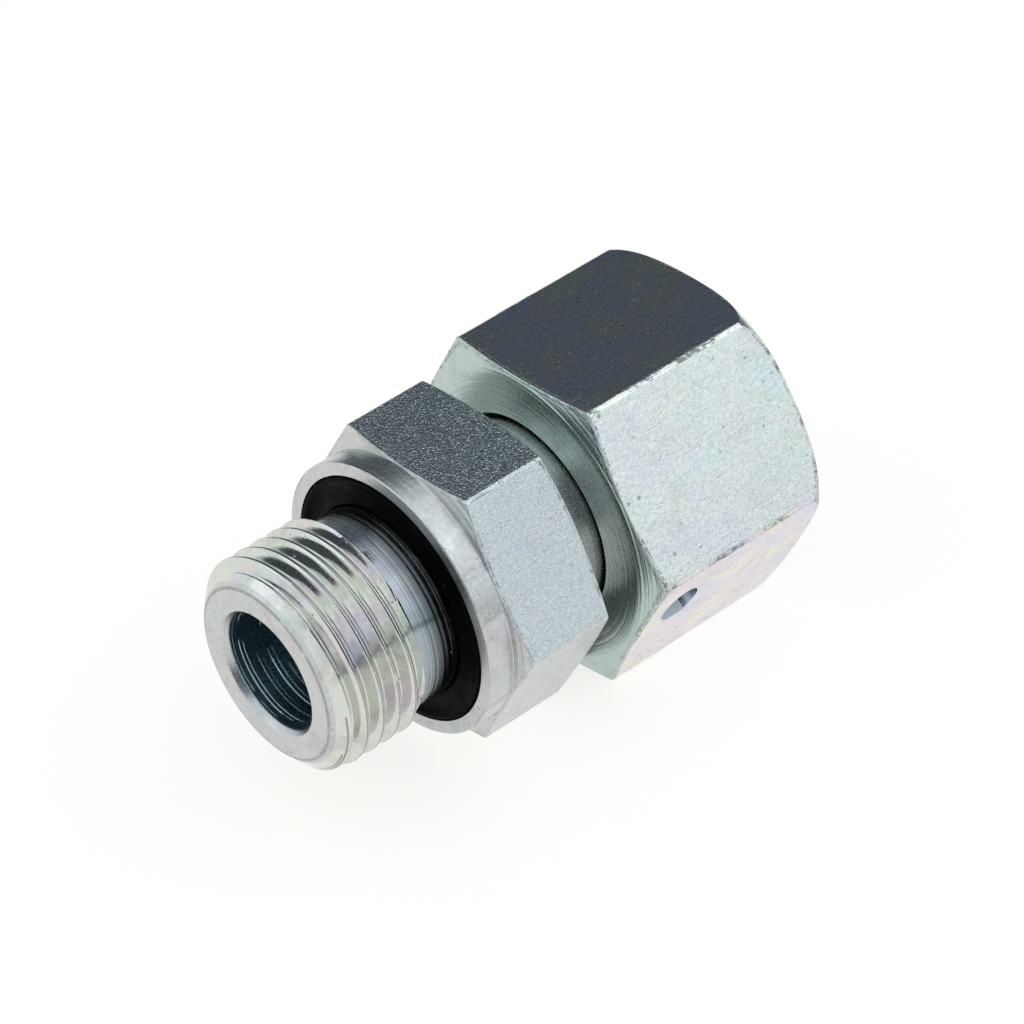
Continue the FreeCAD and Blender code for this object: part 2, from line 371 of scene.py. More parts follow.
# The skin of drawn or pressed bar: grains of uneven height on a finely uneven ground, and broad dimples.
grain, grain_in, grain_out = new_group(
    "Bar grain", {"Vector": None, "Per mm": 4.0, "Coarse share": 0.3}, ["Height", "Fleck", "Patch"])
fine = noise(grain, grain_in.outputs["Vector"], grain_in.outputs["Per mm"], 2.0, 0.6)
broad = noise(grain, grain_in.outputs["Vector"], 0.9, 3.0, 0.55)
dimples = times(grain, broad, grain_in.outputs["Coarse share"])
grit = add_node(grain, "ShaderNodeTexVoronoi", {
    "Vector": grain_in.outputs["Vector"], "Scale": grain_in.outputs["Per mm"], "Randomness": 1.0})
size_of = add_node(grain, "ShaderNodeSeparateColor", {0: grit.outputs["Color"]}).outputs[0]
steep = math_node(grain, "POWER", math_node(grain, "SUBTRACT", 1.0, grit.outputs["Distance"], True), 3.0)
standing = times(grain, steep, times(grain, size_of, size_of))
ground = plus(grain, times(grain, fine, 0.9), dimples)
grain.links.new(plus(grain, standing, ground), grain_out.inputs["Height"])
grain.links.new(eased_mask(grain, fine, 0.50, 0.70), grain_out.inputs["Fleck"])
grain.links.new(broad, grain_out.inputs["Patch"])

# The thin clear film over the zinc: its thickness wanders in clouds, and each thickness has a pale
# interference colour.
FILM_COLOURS = [
    (0.0, (0.70, 0.84, 1.0, 1)),
    (0.38, (0.74, 0.98, 0.90, 1)),
    (0.49, (1.0, 0.95, 0.68, 1)),
    (0.57, (1.0, 0.72, 0.76, 1)),
    (0.65, (0.80, 0.72, 1.0, 1)),
    (1.0, (0.66, 0.86, 1.0, 1)),
]
film, film_in, film_out = new_group(
    "Clear film tint",
    {"Vector": None, "Metal": (0.7, 0.72, 0.74, 1), "Amount": 0.2, "Per mm": 0.3, "Mottle": 0.1,
     "Thicker": 0.0},
    ["Color"])
stretched = add_node(film, "ShaderNodeMapping", {
    "Vector": film_in.outputs["Vector"], "Scale": (0.7, 1.0, 1.0)})
wander = noise(film, stretched.outputs[0], film_in.outputs["Per mm"], 6.0, 0.68, 0.3)
ramp = add_node(film, "ShaderNodeValToRGB", {0: plus(film, wander, film_in.outputs["Thicker"])})
while len(ramp.color_ramp.elements) < len(FILM_COLOURS):
    ramp.color_ramp.elements.new(0.5)
for element, (place, colour) in zip(ramp.color_ramp.elements, FILM_COLOURS):
    element.position = place
    element.color = colour
toned = add_node(film, "ShaderNodeMix", {}, data_type="RGBA", blend_type="MULTIPLY")
toned.inputs[0].default_value = 1.0
film.links.new(film_in.outputs["Metal"], toned.inputs[6])
film.links.new(ramp.outputs[0], toned.inputs[7])
tinted = add_node(film, "ShaderNodeMix", {}, data_type="RGBA")
film.links.new(film_in.outputs["Amount"], tinted.inputs[0])
film.links.new(film_in.outputs["Metal"], tinted.inputs[6])
film.links.new(toned.outputs[2], tinted.inputs[7])
cloud = noise(film, film_in.outputs["Vector"], 2.6, 5.0, 0.75)
uneven = times(film, less(film, cloud, 0.5), film_in.outputs["Mottle"])
mottled = add_node(film, "ShaderNodeVectorMath", {
    0: tinted.outputs[2], "Scale": plus(film, uneven, 1.0)}, operation="SCALE")
film.links.new(mottled.outputs[0], film_out.inputs["Color"])

# Pits and specks of plating: one small spot in some of the cells of a Voronoi pattern.
pits, pits_in, pits_out = new_group(
    "Pits", {"Vector": None, "Per mm": 1.0, "Size": 0.2, "Share": 0.3}, ["Mask"])
ragged = noise(pits, pits_in.outputs["Vector"], 5.0, 2.0)
cells = add_node(pits, "ShaderNodeTexVoronoi", {
    "Vector": pits_in.outputs["Vector"], "Scale": pits_in.outputs["Per mm"], "Randomness": 1.0})
chance = add_node(pits, "ShaderNodeSeparateColor", {0: cells.outputs["Color"]})
chosen = math_node(pits, "LESS_THAN", chance.outputs[0], pits_in.outputs["Share"])
size = times(pits, pits_in.outputs["Size"], plus(pits, chance.outputs[1], 0.4))
rough_edge = times(pits, less(pits, ragged, 0.5), 0.25)
reach = plus(pits, cells.outputs["Distance"], rough_edge)
inside = add_node(pits, "ShaderNodeMapRange", {0: reach, 1: 0.0, 2: size, 3: 1.0, 4: 0.0})
pits.links.new(times(pits, inside.outputs[0], chosen), pits_out.inputs["Mask"])

# Nicks along a hexagon's edges, from tumbling in a box with others: noise that only counts close to an edge.
nicks, nicks_in, nicks_out = new_group("Edge nicks", {"Vector": None, "Edge": 0.0, "Amount": 0.5}, ["Mask"])
chips = noise(nicks, nicks_in.outputs["Vector"], 1.9, 4.0, 0.7)
runs = noise(nicks, nicks_in.outputs["Vector"], 0.22, 2.0)
closeness = math_node(nicks, "POWER", nicks_in.outputs["Edge"], 4.0)
often = times(nicks, closeness, nicks_in.outputs["Amount"])
likely = times(nicks, often, eased_mask(nicks, runs, 0.40, 0.62))
chipped = plus(nicks, times(nicks, likely, 0.38), chips)
off_corner = eased_mask(nicks, nicks_in.outputs["Edge"], 0.60, 0.70)
on_corner = eased_mask(nicks, nicks_in.outputs["Edge"], 0.78, 0.86)
beside = times(nicks, off_corner, less(nicks, 1.0, on_corner))
line = times(nicks, beside, eased_mask(nicks, chips, 0.36, 0.60))
line = times(nicks, line, eased_mask(nicks, runs, 0.44, 0.58))
line = times(nicks, line, nicks_in.outputs["Amount"])
both_marks = math_node(nicks, "MAXIMUM", line, eased_mask(nicks, chipped, 0.72, 0.80))
nicks.links.new(both_marks, nicks_out.inputs["Mask"])

# Handling: patches where oil and dirt dull the plating, and a few straight scratches in two directions.
handled, handled_in, handled_out = new_group(
    "Handling marks", {"Vector": None, "Scratches": 0.5}, ["Dirt", "Scratch"])
smear = noise(handled, handled_in.outputs["Vector"], 0.35, 5.0, 0.62, 0.4)
handled.links.new(eased_mask(handled, smear, 0.45, 0.72), handled_out.inputs["Dirt"])
lines_seen = []
for turn, seed in ((0.5, 0.0), (-0.9, 7.0)):
    laid = add_node(handled, "ShaderNodeMapping", {
        "Vector": handled_in.outputs["Vector"], "Location": (seed, seed, 0), "Rotation": (0.3, turn, turn),
        "Scale": (0.12, 3.2, 3.2)})
    line = noise(handled, laid.outputs[0], 1.0, 1.0)
    lines_seen.append(eased_mask(handled, line, 0.70, 0.76))
both = math_node(handled, "MAXIMUM", lines_seen[0], lines_seen[1])
handled.links.new(times(handled, both, handled_in.outputs["Scratches"]), handled_out.inputs["Scratch"])


def place_group(tree, group, inputs):
    """A node group placed in a material with its own values."""
    return add_node(tree, "ShaderNodeGroup", inputs, node_tree=group)


def new_material(name):
    """An empty material with its node tree, its shader and, in mm, the place on the piece."""
    material = bpy.data.materials.new(name)
    material.use_nodes = True
    tree = material.node_tree
    where = add_node(tree, "ShaderNodeTexCoord")
    in_mm = add_node(tree, "ShaderNodeMapping", {"Vector": where.outputs["Object"], "Scale": (1 / MM,) * 3})
    return material, tree, tree.nodes["Principled BSDF"], in_mm.outputs[0]


def plated(name, metal, film_amount, rings, grains, rough, pits_seen=(0.0, 0.2), nick_amount=0.0,
           scratches=0.0, dirt=0.3, mottle=0.2, scores=(0.0, 0.0), shade_breaks=(0.26, 0.44)):
    """Zinc plating with a clear film over turned or drawn steel.

    rings is the lathe marks' depth in mm, their number per mm, how far they fade, and the share of ridges.
    grains is the bar skin's depth, its number per mm and the dimples' share. rough is from polished to dull.
    pits_seen is the share of cells with a pit and the pits' size in mm. scores is how deep single rings are,
    in the depth of the others, and how much brighter their colour is painted, as a painted glint. The painted
    shade read from the mesh is broken up where a slow noise is low, as the last argument says.
    """
    material, tree, shader, spot = new_material(name)
    shader.inputs["Metallic"].default_value = 1.0
    thickness = add_node(tree, "ShaderNodeAttribute", attribute_name="film")
    amount = times(tree, thickness.outputs["Fac"], film_amount)
    thicker = times(tree, less(tree, thickness.outputs["Fac"], 1.0), 0.014)
    colour = place_group(tree, film, {
        "Vector": spot, "Metal": metal, "Amount": amount, "Per mm": 0.22, "Mottle": mottle,
        "Thicker": thicker}).outputs[0]
    chamfer = add_node(tree, "ShaderNodeAttribute", attribute_name="chamfer")
    ridge_share = plus(tree, times(tree, chamfer.outputs["Fac"], 3.0), rings[3])
    lathe = place_group(tree, turning, {
        "Vector": spot, "Per mm": rings[1], "Fading": rings[2], "Ridges": ridge_share, "Scores": scores[0]})
    skin_grain = place_group(tree, grain, {"Vector": spot, "Per mm": grains[1], "Coarse share": grains[2]})
    holes = place_group(tree, pits, {"Vector": spot, "Share": pits_seen[0], "Size": pits_seen[1]}).outputs[0]
    edge = add_node(tree, "ShaderNodeAttribute", attribute_name="edge")
    chips = place_group(tree, nicks, {
        "Vector": spot, "Edge": edge.outputs["Fac"], "Amount": nick_amount}).outputs[0]
    marks = place_group(tree, handled, {"Vector": spot, "Scratches": scratches})
    flaw = math_node(tree, "MAXIMUM", holes, chips)
    # Painted shade from a point attribute: dark lines in the thread's roots and beside its crests, the
    # undercut darkened towards the seal, and the feed hole darkened inside. It is mixed with the real dirt of
    # handling.
    painted_shade = add_node(tree, "ShaderNodeAttribute", attribute_name="painted_shade")
    unbroken = eased_mask(tree, skin_grain.outputs["Patch"], *shade_breaks)
    shade_lines = times(tree, painted_shade.outputs["Fac"], unbroken)
    dirt_and_shade = math_node(tree, "MAXIMUM", times(tree, marks.outputs["Dirt"], dirt), shade_lines)
    shade = math_node(tree, "MAXIMUM", times(tree, flaw, 0.8), dirt_and_shade)
    dulled = add_node(tree, "ShaderNodeMix", {}, data_type="RGBA")
    tree.links.new(shade, dulled.inputs[0])
    # Scored rings get a brighter colour: a painted glint.
    painted_glint = times(tree, lathe.outputs["Score"], scores[1])
    polished = add_node(tree, "ShaderNodeVectorMath", {
        0: colour, "Scale": plus(tree, painted_glint, 1.0)}, operation="SCALE")
    tree.links.new(polished.outputs[0], dulled.inputs[6])
    dulled.inputs[7].default_value = (0.09, 0.10, 0.10, 1)
    tree.links.new(dulled.outputs[2], shader.inputs["Base Color"])
    worn = add_node(tree, "ShaderNodeMapRange", {
        0: skin_grain.outputs["Fleck"], 1: 0.0, 2: 1.0, 3: rough[0], 4: rough[1]})
    spoilt = times(tree, math_node(tree, "MAXIMUM", flaw, marks.outputs["Dirt"]), 0.06)
    tree.links.new(math_node(tree, "ADD", worn.outputs[0], spoilt, True), shader.inputs["Roughness"])
    first = add_node(tree, "ShaderNodeBump", {
        "Strength": 1.0, "Distance": rings[0] * MM, "Height": lathe.outputs["Height"]})
    second = add_node(tree, "ShaderNodeBump", {
        "Strength": 1.0, "Distance": grains[0] * MM, "Height": skin_grain.outputs["Height"],
        "Normal": first.outputs[0]})
    sunk = less(tree, 1.0, math_node(tree, "MAXIMUM", flaw, marks.outputs["Scratch"]))
    third = add_node(tree, "ShaderNodeBump", {
        "Strength": 1.0, "Distance": 0.03 * MM, "Height": sunk, "Normal": second.outputs[0]})
    tree.links.new(third.outputs[0], shader.inputs["Normal"])
    return material


turned_zinc = plated("Turned and plated", (0.58, 0.60, 0.61, 1), 0.14, rings=(0.020, 9.0, 0.6, 1.0),
                     grains=(0.006, 6.0, 0.2), rough=(0.26, 0.36), pits_seen=(0.25, 0.13), nick_amount=0.4,
                     dirt=0.16, mottle=0.6)
thread_zinc = plated("Thread, plated", (0.67, 0.69, 0.685, 1), 0.28, rings=(0.0015, 9.0, 0.6, 0.4),
                     grains=(0.002, 4.0, 0.3), rough=(0.11, 0.20), pits_seen=(0.3, 0.12), dirt=0.22,
                     mottle=0.4)
drawn_zinc = plated("Drawn hexagon, plated", (0.58, 0.63, 0.66, 1), 0.10, rings=(0.0, 6.0, 0.5, 0.0),
                    grains=(0.070, 5.0, 0.2), rough=(0.18, 0.28), pits_seen=(0.1, 0.15), nick_amount=0.8,
                    dirt=0.04, mottle=0.8)
# The bore's darker, bluer metal is painted shade inside the bore and the feed hole, and its scored rings are
# painted glints.
drilled_zinc = plated("Drilled bore, plated", (0.36, 0.48, 0.54, 1), 0.05, rings=(0.02, 2.6, 0.9, 0.3),
                      grains=(0.0006, 5.0, 0.1), rough=(0.26, 0.32), pits_seen=(0.0, 0.15), dirt=0.05,
                      mottle=0.05, scores=(4.0, 1.4))
# The undercut's darker, bluer metal is painted shade in its recess between the thread and the seal.
undercut_zinc = plated("Undercut, plated", (0.40, 0.44, 0.50, 1), 0.25, rings=(0.026, 7.0, 0.5, 1.8),
                       grains=(0.001, 6.0, 0.2), rough=(0.13, 0.20), pits_seen=(0.1, 0.12), dirt=0.05,
                       shade_breaks=(0.0, 0.25))

body_angles = angles_round(BODY_HEX_TURN)
body_hex = hexagon_radius(body_angles, BODY_FLATS, BODY_HEX_TURN, BODY_CORNER_CUT)
body_flat_start = lambda radius: COLLAR_END + (radius - COLLAR_R) * HEX_CHAMFER
body_flat_end = lambda radius: BODY_HEX_END - (radius - BODY_HEX_END_R) * HEX_CHAMFER
body_hex_start = body_flat_start(body_hex)
body_hex_end = body_flat_end(body_hex)
lead_slope = (STUD_R - STUD_LEAD_R) / STUD_LEAD
thread_start = STUD_FACE + 0.4
thread_end = THREAD_FOOT + 0.1
groove_turn = math.asin((WIRE_RING_R - SHANK_R) / BODY_GROOVE_R)
groove_arc = np.linspace(np.pi + groove_turn, 2 * np.pi - groove_turn, 13)
cone_r = lambda x: SHANK_R - (x - CONE_START) * CONE_SLOPE
behind_thread = [
    (thread_end, UNDERCUT_R, 0),
    (UNDERCUT_SHADE_RAMP[0], UNDERCUT_R, 0),
    (-2.6, UNDERCUT_R, 0),
    (UNDERCUT_SHADE_RAMP[1], UNDERCUT_R, 0),
    (SEAL_SEAT, UNDERCUT_R, 0.1),
    (SEAL_SEAT, SEAL_SEAT_R, 0.1),
    (0, SEAL_SEAT_R, 0.08),
    (0, COLLAR_R, 0.16),
    (COLLAR_END, COLLAR_R, 0.1),
    (body_hex_start, body_hex, 0.14),
]
flat_rows = [0.3, 0.7, 1.5, 3.0]
on_flat = [(body_hex_start + d, body_hex, 0) for d in flat_rows]
on_flat += [(body_hex_end - d, body_hex, 0) for d in flat_rows[::-1]]
behind_hex = [
    (body_hex_end, body_hex, 0.14),
    (BODY_HEX_END, BODY_HEX_END_R, 0.12),
    (BODY_HEX_END, SHANK_R, 0.3),
]


def arc(middle_x, middle_r, radius, turns):
    """Profile points on a circle round (middle_x, middle_r), each at its angle from the axis."""
    return [(middle_x + radius * np.cos(turn), middle_r + radius * np.sin(turn), 0) for turn in turns]


groove = arc(WIRE_X, WIRE_RING_R, BODY_GROOVE_R, groove_arc)
behind_groove = [
    (CONE_START, SHANK_R, 0.15),
    (CONE_GROOVE[0], cone_r(CONE_GROOVE[0]), 0.1),
    (CONE_GROOVE[0], CONE_GROOVE_R, 0.2),
    (CONE_GROOVE[1], CONE_GROOVE_R, 0.2),
    (CONE_GROOVE[1], cone_r(CONE_GROOVE[1]), 0.1),
    (CONE_TIP - 0.35, cone_r(CONE_TIP - 0.35), 0.1),
    (CONE_TIP, cone_r(CONE_TIP) - 0.35, 0.1),
    (CONE_TIP, BORE_R + 0.35, 0.1),
    (CONE_TIP - 0.35, BORE_R, 0.1),
    (CONE_TIP - 8, BORE_R, 0),
    (WIRE_X, BORE_R, 0),
    (8, BORE_R, 0),
    (STUD_FACE + BORE_MOUTH + 6, BORE_R, 0),
    (STUD_FACE + BORE_MOUTH, BORE_R, 0.15),
    (STUD_FACE, BORE_MOUTH_R, 0.15),
    (STUD_FACE, STUD_LEAD_R, 0.22),
    (thread_start, STUD_LEAD_R + 0.4 * lead_slope, 0),
]
body_rows = eased_rows(behind_thread + on_flat + behind_hex + groove + behind_groove, len(body_angles))
row_x = body_rows[..., 0]
row_r = body_rows[..., 1]
on_bar = (np.abs(row_r - body_hex).max(1) < 0.001) & (row_x.min(1) > COLLAR_END)
in_bore = row_r.max(1) < BORE_R + 0.01
in_undercut = (np.abs(row_r - UNDERCUT_R).max(1) < 0.001) & (row_x.max(1) < SEAL_SEAT)
arc_spots = PIPE_CREST_ROUND * math.cos(math.radians(PIPE_FLANK_ANGLE)) * np.array([0, 0.35, 0.7, 1.0])
flank_spots = arc_spots[-1] + (PIPE_PITCH / 2 - 2 * arc_spots[-1]) * np.array([0.33, 0.67])
half_spots = np.concatenate([arc_spots, flank_spots, PIPE_PITCH / 2 - arc_spots[::-1]])
pitch_spots = np.concatenate([half_spots, PIPE_PITCH - half_spots[::-1][1:-1]])
first_root = STUD_FACE + PIPE_FIRST_ROOT + PIPE_PITCH * (np.degrees(body_angles[0]) + PIPE_ROOT_TURN) / 360
thread_x = helix_rows(body_angles, PIPE_PITCH, first_root, thread_start, thread_end, pitch_spots)
lead = PIPE_PITCH * (body_angles - body_angles[0]) / (2 * np.pi)
depth_left = np.clip((thread_end - thread_x) / THREAD_FADE, 0, 1)
depth_left = depth_left ** 2 * (3 - 2 * depth_left)
thread_r = STUD_R - (PIPE_THREAD_DEPTH - pipe_thread(thread_x - first_root - lead)) * depth_left
envelope = np.minimum(STUD_LEAD_R + (thread_x - STUD_FACE) * lead_slope, STUD_R + 0.3)
behind = np.maximum(UNDERCUT_R + (THREAD_FOOT - thread_x) * THREAD_END_SLOPE, UNDERCUT_R)
thread_r = smaller(thread_r, np.minimum(envelope, behind), 0.2)


def mark_thread(mesh):
    """Writes a point attribute of painted shade: dark lines on the thread and at the lead's foot, and the
    undercut darkened.

    The thread's lines lie in its root and beside its crest, by the distance along the axis from the nearest
    root. The undercut's painted shade deepens towards the seal, into the corner of its recess.
    """
    x, y, z = places_in_mm(mesh).T
    r = np.hypot(y, z)
    turned = (np.arctan2(-y, z) - body_angles[0]) % (2 * np.pi)
    along = x - first_root - PIPE_PITCH * turned / (2 * np.pi)
    from_root = np.abs((along + PIPE_PITCH / 2) % PIPE_PITCH - PIPE_PITCH / 2)
    beside_crest = np.abs(PIPE_PITCH / 2 - from_root - arc_spots[1]) < 0.02
    lines = np.where(beside_crest, 0.9, np.where(from_root < 0.02, 0.55, 0.0))
    in_turned_neck = (x > thread_end - 0.05) & (r < UNDERCUT_R + 0.1) & (x < SEAL_SEAT + 0.1)
    on_thread = (r > UNDERCUT_R - 0.1) & (x > thread_start + 0.6) & (x < thread_end - THREAD_FADE)
    lines = lines * on_thread + LEAD_SHADE_LINE * ((np.abs(r - STUD_LEAD_R) < 0.12) & (x < thread_start))
    painted_dark = np.where(in_turned_neck, np.interp(x, UNDERCUT_SHADE_RAMP, UNDERCUT_SHADE), lines)
    write_values(mesh, "painted_shade", painted_dark)


body_mesh = skin("threaded_body", body_angles, [
    (row_x, row_r, 0, np.select([in_bore, on_bar, in_undercut], [3, 1, 4], 0)),
    (thread_x, thread_r, len(pitch_spots), 2),
])
mark_surface(body_mesh, BODY_FLATS, BODY_HEX_TURN, BODY_CORNER_CUT, COLLAR_END, body_flat_start,
             body_flat_end, BODY_FILM)
mark_thread(body_mesh)
stand("threaded_body", body_mesh, [turned_zinc, drawn_zinc, thread_zinc, drilled_zinc, undercut_zinc], "body",
      "fitting_body")

# Port seal. A moulded ring of black nitrile rubber pressed into the collar's recess, dished between an outer
# and an inner lip. It is matt, and holds a little pale dust.
SEAL_R = 11.95
SEAL_BORE_R = 9.3
SEAL_PROUD = 0.05
SEAL_LIP = 0.45
SEAL_DISH = 0.3
SEAL_DISH_SLOPE = 0.5

dust, dust_in, dust_out = new_group(
    "Dust specks", {"Vector": None, "Per mm": 2.2, "Share": 0.2}, ["Mask", "Haze"])
motes = add_node(dust, "ShaderNodeTexVoronoi", {
    "Vector": dust_in.outputs["Vector"], "Scale": dust_in.outputs["Per mm"], "Randomness": 1.0})
mote_chance = add_node(dust, "ShaderNodeSeparateColor", {0: motes.outputs["Color"]})
mote_chosen = math_node(dust, "LESS_THAN", mote_chance.outputs[0], dust_in.outputs["Share"])
mote_shape = add_node(dust, "ShaderNodeMapRange", {
    0: motes.outputs["Distance"], 1: 0.03, 2: 0.10, 3: 1.0, 4: 0.0})
haze = noise(dust, dust_in.outputs["Vector"], 0.5, 3.0)
dust.links.new(times(dust, mote_shape.outputs[0], mote_chosen), dust_out.inputs["Mask"])
dust.links.new(haze, dust_out.inputs["Haze"])


def rubber(name, colour, rough, dust_share):
    """Black moulded rubber with a fine grain, and dust specks over it."""
    material, tree, shader, spot = new_material(name)
    shader.inputs["IOR"].default_value = 1.08
    specks = place_group(tree, dust, {"Vector": spot, "Share": dust_share})
    moulded = place_group(tree, grain, {"Vector": spot, "Per mm": 6.0, "Coarse share": 0.5})
    dusted = add_node(tree, "ShaderNodeMix", {}, data_type="RGBA")
    tree.links.new(specks.outputs["Mask"], dusted.inputs[0])
    dusted.inputs[6].default_value = colour
    dusted.inputs[7].default_value = (0.45, 0.45, 0.44, 1)
    tree.links.new(dusted.outputs[2], shader.inputs["Base Color"])
    worn = add_node(tree, "ShaderNodeMapRange", {
        0: specks.outputs["Haze"], 1: 0.3, 2: 0.7, 3: rough - 0.08, 4: rough + 0.1})
    tree.links.new(worn.outputs[0], shader.inputs["Roughness"])
    bump = add_node(tree, "ShaderNodeBump", {
        "Strength": 1.0, "Distance": 0.006 * MM, "Height": moulded.outputs["Height"]})
    tree.links.new(bump.outputs[0], shader.inputs["Normal"])
    return material


seal_rubber = rubber("Nitrile rubber", (0.0025, 0.0025, 0.003, 1), 0.42, 0.32)
dish_x = SEAL_DISH - SEAL_PROUD
seal_rows = eased_rows([
    (SEAL_SEAT / 2, SEAL_BORE_R, 0),
    (SEAL_SEAT, SEAL_BORE_R, 0.1),
    (SEAL_SEAT, SEAL_R, 0.1),
    (-SEAL_PROUD, SEAL_R, 0.2),
    (-SEAL_PROUD, SEAL_R - SEAL_LIP, 0.2),
    (dish_x, SEAL_R - SEAL_LIP - SEAL_DISH_SLOPE, 0.25),
    (dish_x, SEAL_BORE_R + SEAL_LIP + SEAL_DISH_SLOPE, 0.25),
    (-SEAL_PROUD, SEAL_BORE_R + SEAL_LIP, 0.2),
    (-SEAL_PROUD, SEAL_BORE_R, 0.2),
    (SEAL_SEAT / 2, SEAL_BORE_R, 0),
], len(body_angles), 6)
seal_mesh = skin("port_seal", body_angles, [(seal_rows[..., 0], seal_rows[..., 1], 0, 0)])
stand("port_seal", seal_mesh, [seal_rubber], "body", "stud_seal")

# Cone O-ring. Black nitrile cord stretched into the groove of the 24 degree cone, a little proud of it.
O_RING_X = 28.05
O_RING_R = 8.08
O_RING_SECTION_R = 1.2

ring_turn = np.linspace(0, 2 * np.pi, 33)[:, None] + 0 * body_angles
ring_x = O_RING_X + O_RING_SECTION_R * np.cos(ring_turn)
ring_r = O_RING_R + O_RING_SECTION_R * np.sin(ring_turn)
ring_mesh = skin("cone_o_ring_rubber", body_angles, [(ring_x, ring_r, 0, 0)])
stand("cone_o_ring_rubber", ring_mesh, [seal_rubber], "body", "cone_o_ring")

# Swivel nut. Hexagonal steel, cold formed and plated, with a fine metric thread in its mouth. Its flats are
# smoother than the body's bar, its edges are nicked, and the wire's feed hole opens in the lower front flat.
NUT_FLATS = 30.0
NUT_CORNER_CUT = 0.13
NUT_START = 16.4
NUT_END = 37.4
NUT_NEAR_R = 14.2
NUT_SHOULDER = 3.18
NUT_CORNER_STOCK = 0.06
NUT_NECK_R = 9.85
NUT_NECK_END = 24.8
NUT_NECK_CHAMFER = 0.3
NUT_RELIEF_END = 26.5
NUT_RELIEF_R = 12.2
NUT_MOUTH_R = 12.3
NUT_THREAD_CREST_R = 11.2
NUT_THREAD_ROOT_R = 12.0
NUT_PITCH = 1.5
NUT_GROOVE_R = 1.3
WIRE_HOLE_R = 2.0
WIRE_HOLE_OFFSET = 2.8
NUT_FILM = [5.5, 1.8, 6.5, 1.0, 1.0, 1.0]

pressed_zinc = plated("Pressed hexagon, plated", (0.71, 0.75, 0.75, 1), 0.09, rings=(0.0, 6.0, 0.5, 0.0),
                      grains=(0.021, 4.5, 0.3), rough=(0.15, 0.25), pits_seen=(0.45, 0.20), nick_amount=1.0,
                      scratches=0.25, dirt=0.07, mottle=0.9)
faced_zinc = plated("Faced nut, plated", (0.49, 0.585, 0.57, 1), 0.14, rings=(0.020, 8.0, 0.6, 1.5),
                    grains=(0.002, 5.0, 0.2), rough=(0.20, 0.30), pits_seen=(0.08, 0.12), nick_amount=0.6,
                    dirt=0.14, mottle=0.4)
nut_angles = angles_round(0)
nut_hex = hexagon_radius(nut_angles, NUT_FLATS, 0, NUT_CORNER_CUT)
shoulder_x = NUT_END - NUT_SHOULDER
shoulder_r = NUT_FLATS / 2 / math.cos(math.radians(30)) + NUT_CORNER_STOCK - NUT_SHOULDER
nut_flat_start = lambda radius: NUT_START + (radius - NUT_NEAR_R) * HEX_CHAMFER
nut_flat_end = lambda radius: shoulder_x + np.sqrt(
    np.maximum(NUT_SHOULDER ** 2 - (radius - shoulder_r) ** 2, 0))
nut_hex_start = nut_flat_start(nut_hex)
nut_hex_end = nut_flat_end(nut_hex)
nut_flat_rows = flat_rows + [6.0]
flat_meets = np.arcsin(np.clip((nut_hex - shoulder_r) / NUT_SHOULDER, -1, 1))
shoulder_turns = [flat_meets * (1 - share) for share in np.linspace(0, 1, 11)[1:]]
nut_groove_turn = math.asin((NUT_NECK_R - WIRE_RING_R) / NUT_GROOVE_R)
nut_groove_arc = np.linspace(nut_groove_turn, np.pi - nut_groove_turn, 13)
mouth_r = lambda x: NUT_MOUTH_R - (NUT_END - x)
inner_start = NUT_RELIEF_END
inner_end = NUT_END - 0.1
nut_outline = [
    (inner_start, NUT_RELIEF_R, 0),
    (NUT_NECK_END, NUT_RELIEF_R, 0.3),
    (NUT_NECK_END, NUT_NECK_R + NUT_NECK_CHAMFER, 0.08),
    (NUT_NECK_END - NUT_NECK_CHAMFER, NUT_NECK_R, 0.08),
]
nut_outline += arc(WIRE_X, WIRE_RING_R, NUT_GROOVE_R, nut_groove_arc)
nut_outline += [
    (NUT_START + NUT_NECK_CHAMFER, NUT_NECK_R, 0.08),
    (NUT_START, NUT_NECK_R + NUT_NECK_CHAMFER, 0.1),
    (NUT_START, NUT_NEAR_R, 0.2),
    (nut_hex_start, nut_hex, 0.2),
]
nut_outline += [(nut_hex_start + d, nut_hex, 0) for d in nut_flat_rows]
nut_outline += [(nut_hex_end - d, nut_hex, 0) for d in nut_flat_rows[::-1]]
nut_outline += [(nut_hex_end, nut_hex, 0.12)]
nut_outline += arc(shoulder_x, shoulder_r, NUT_SHOULDER, shoulder_turns)
nut_outline += [(NUT_END, NUT_MOUTH_R, 0.1), (inner_end, mouth_r(inner_end), 0)]
nut_rows = eased_rows(nut_outline, len(nut_angles))
nut_x = nut_rows[..., 0]
nut_r = nut_rows[..., 1]
on_nut_bar = (np.abs(nut_r - nut_hex).max(1) < 0.001) & (nut_x.min(1) > NUT_START)


def metric_thread(along):
    """Depth of the 60 degree thread below its crest, a quarter of the pitch wide; the root is an eighth."""
    from_crest = np.abs((along + NUT_PITCH / 2) % NUT_PITCH - NUT_PITCH / 2)
    depth = (from_crest - NUT_PITCH / 8) / math.tan(math.radians(30))
    return np.clip(depth, 0, NUT_THREAD_ROOT_R - NUT_THREAD_CREST_R)


metric_spots = NUT_PITCH * np.array([
    0, 0.125, 0.18, 0.28, 0.38, 0.4375, 0.5, 0.5625, 0.62, 0.72, 0.82, 0.875])
inner_x = helix_rows(nut_angles, NUT_PITCH, inner_start, inner_start, inner_end, metric_spots)
inner_lead = NUT_PITCH * (nut_angles - nut_angles[0]) / (2 * np.pi)
inner_r = NUT_THREAD_CREST_R + metric_thread(inner_x - inner_start - inner_lead)
inner_r = -smaller(-inner_r, -mouth_r(inner_x), 0.1)
inner_r = -smaller(-inner_r, -(NUT_RELIEF_R - (inner_x - inner_start)), 0.1)
nut_mesh = skin("swivel_nut_blank", nut_angles, [
    (nut_x, nut_r, 0, np.where(on_nut_bar, 1, 0)),
    (inner_x, inner_r, len(metric_spots), 2),
])
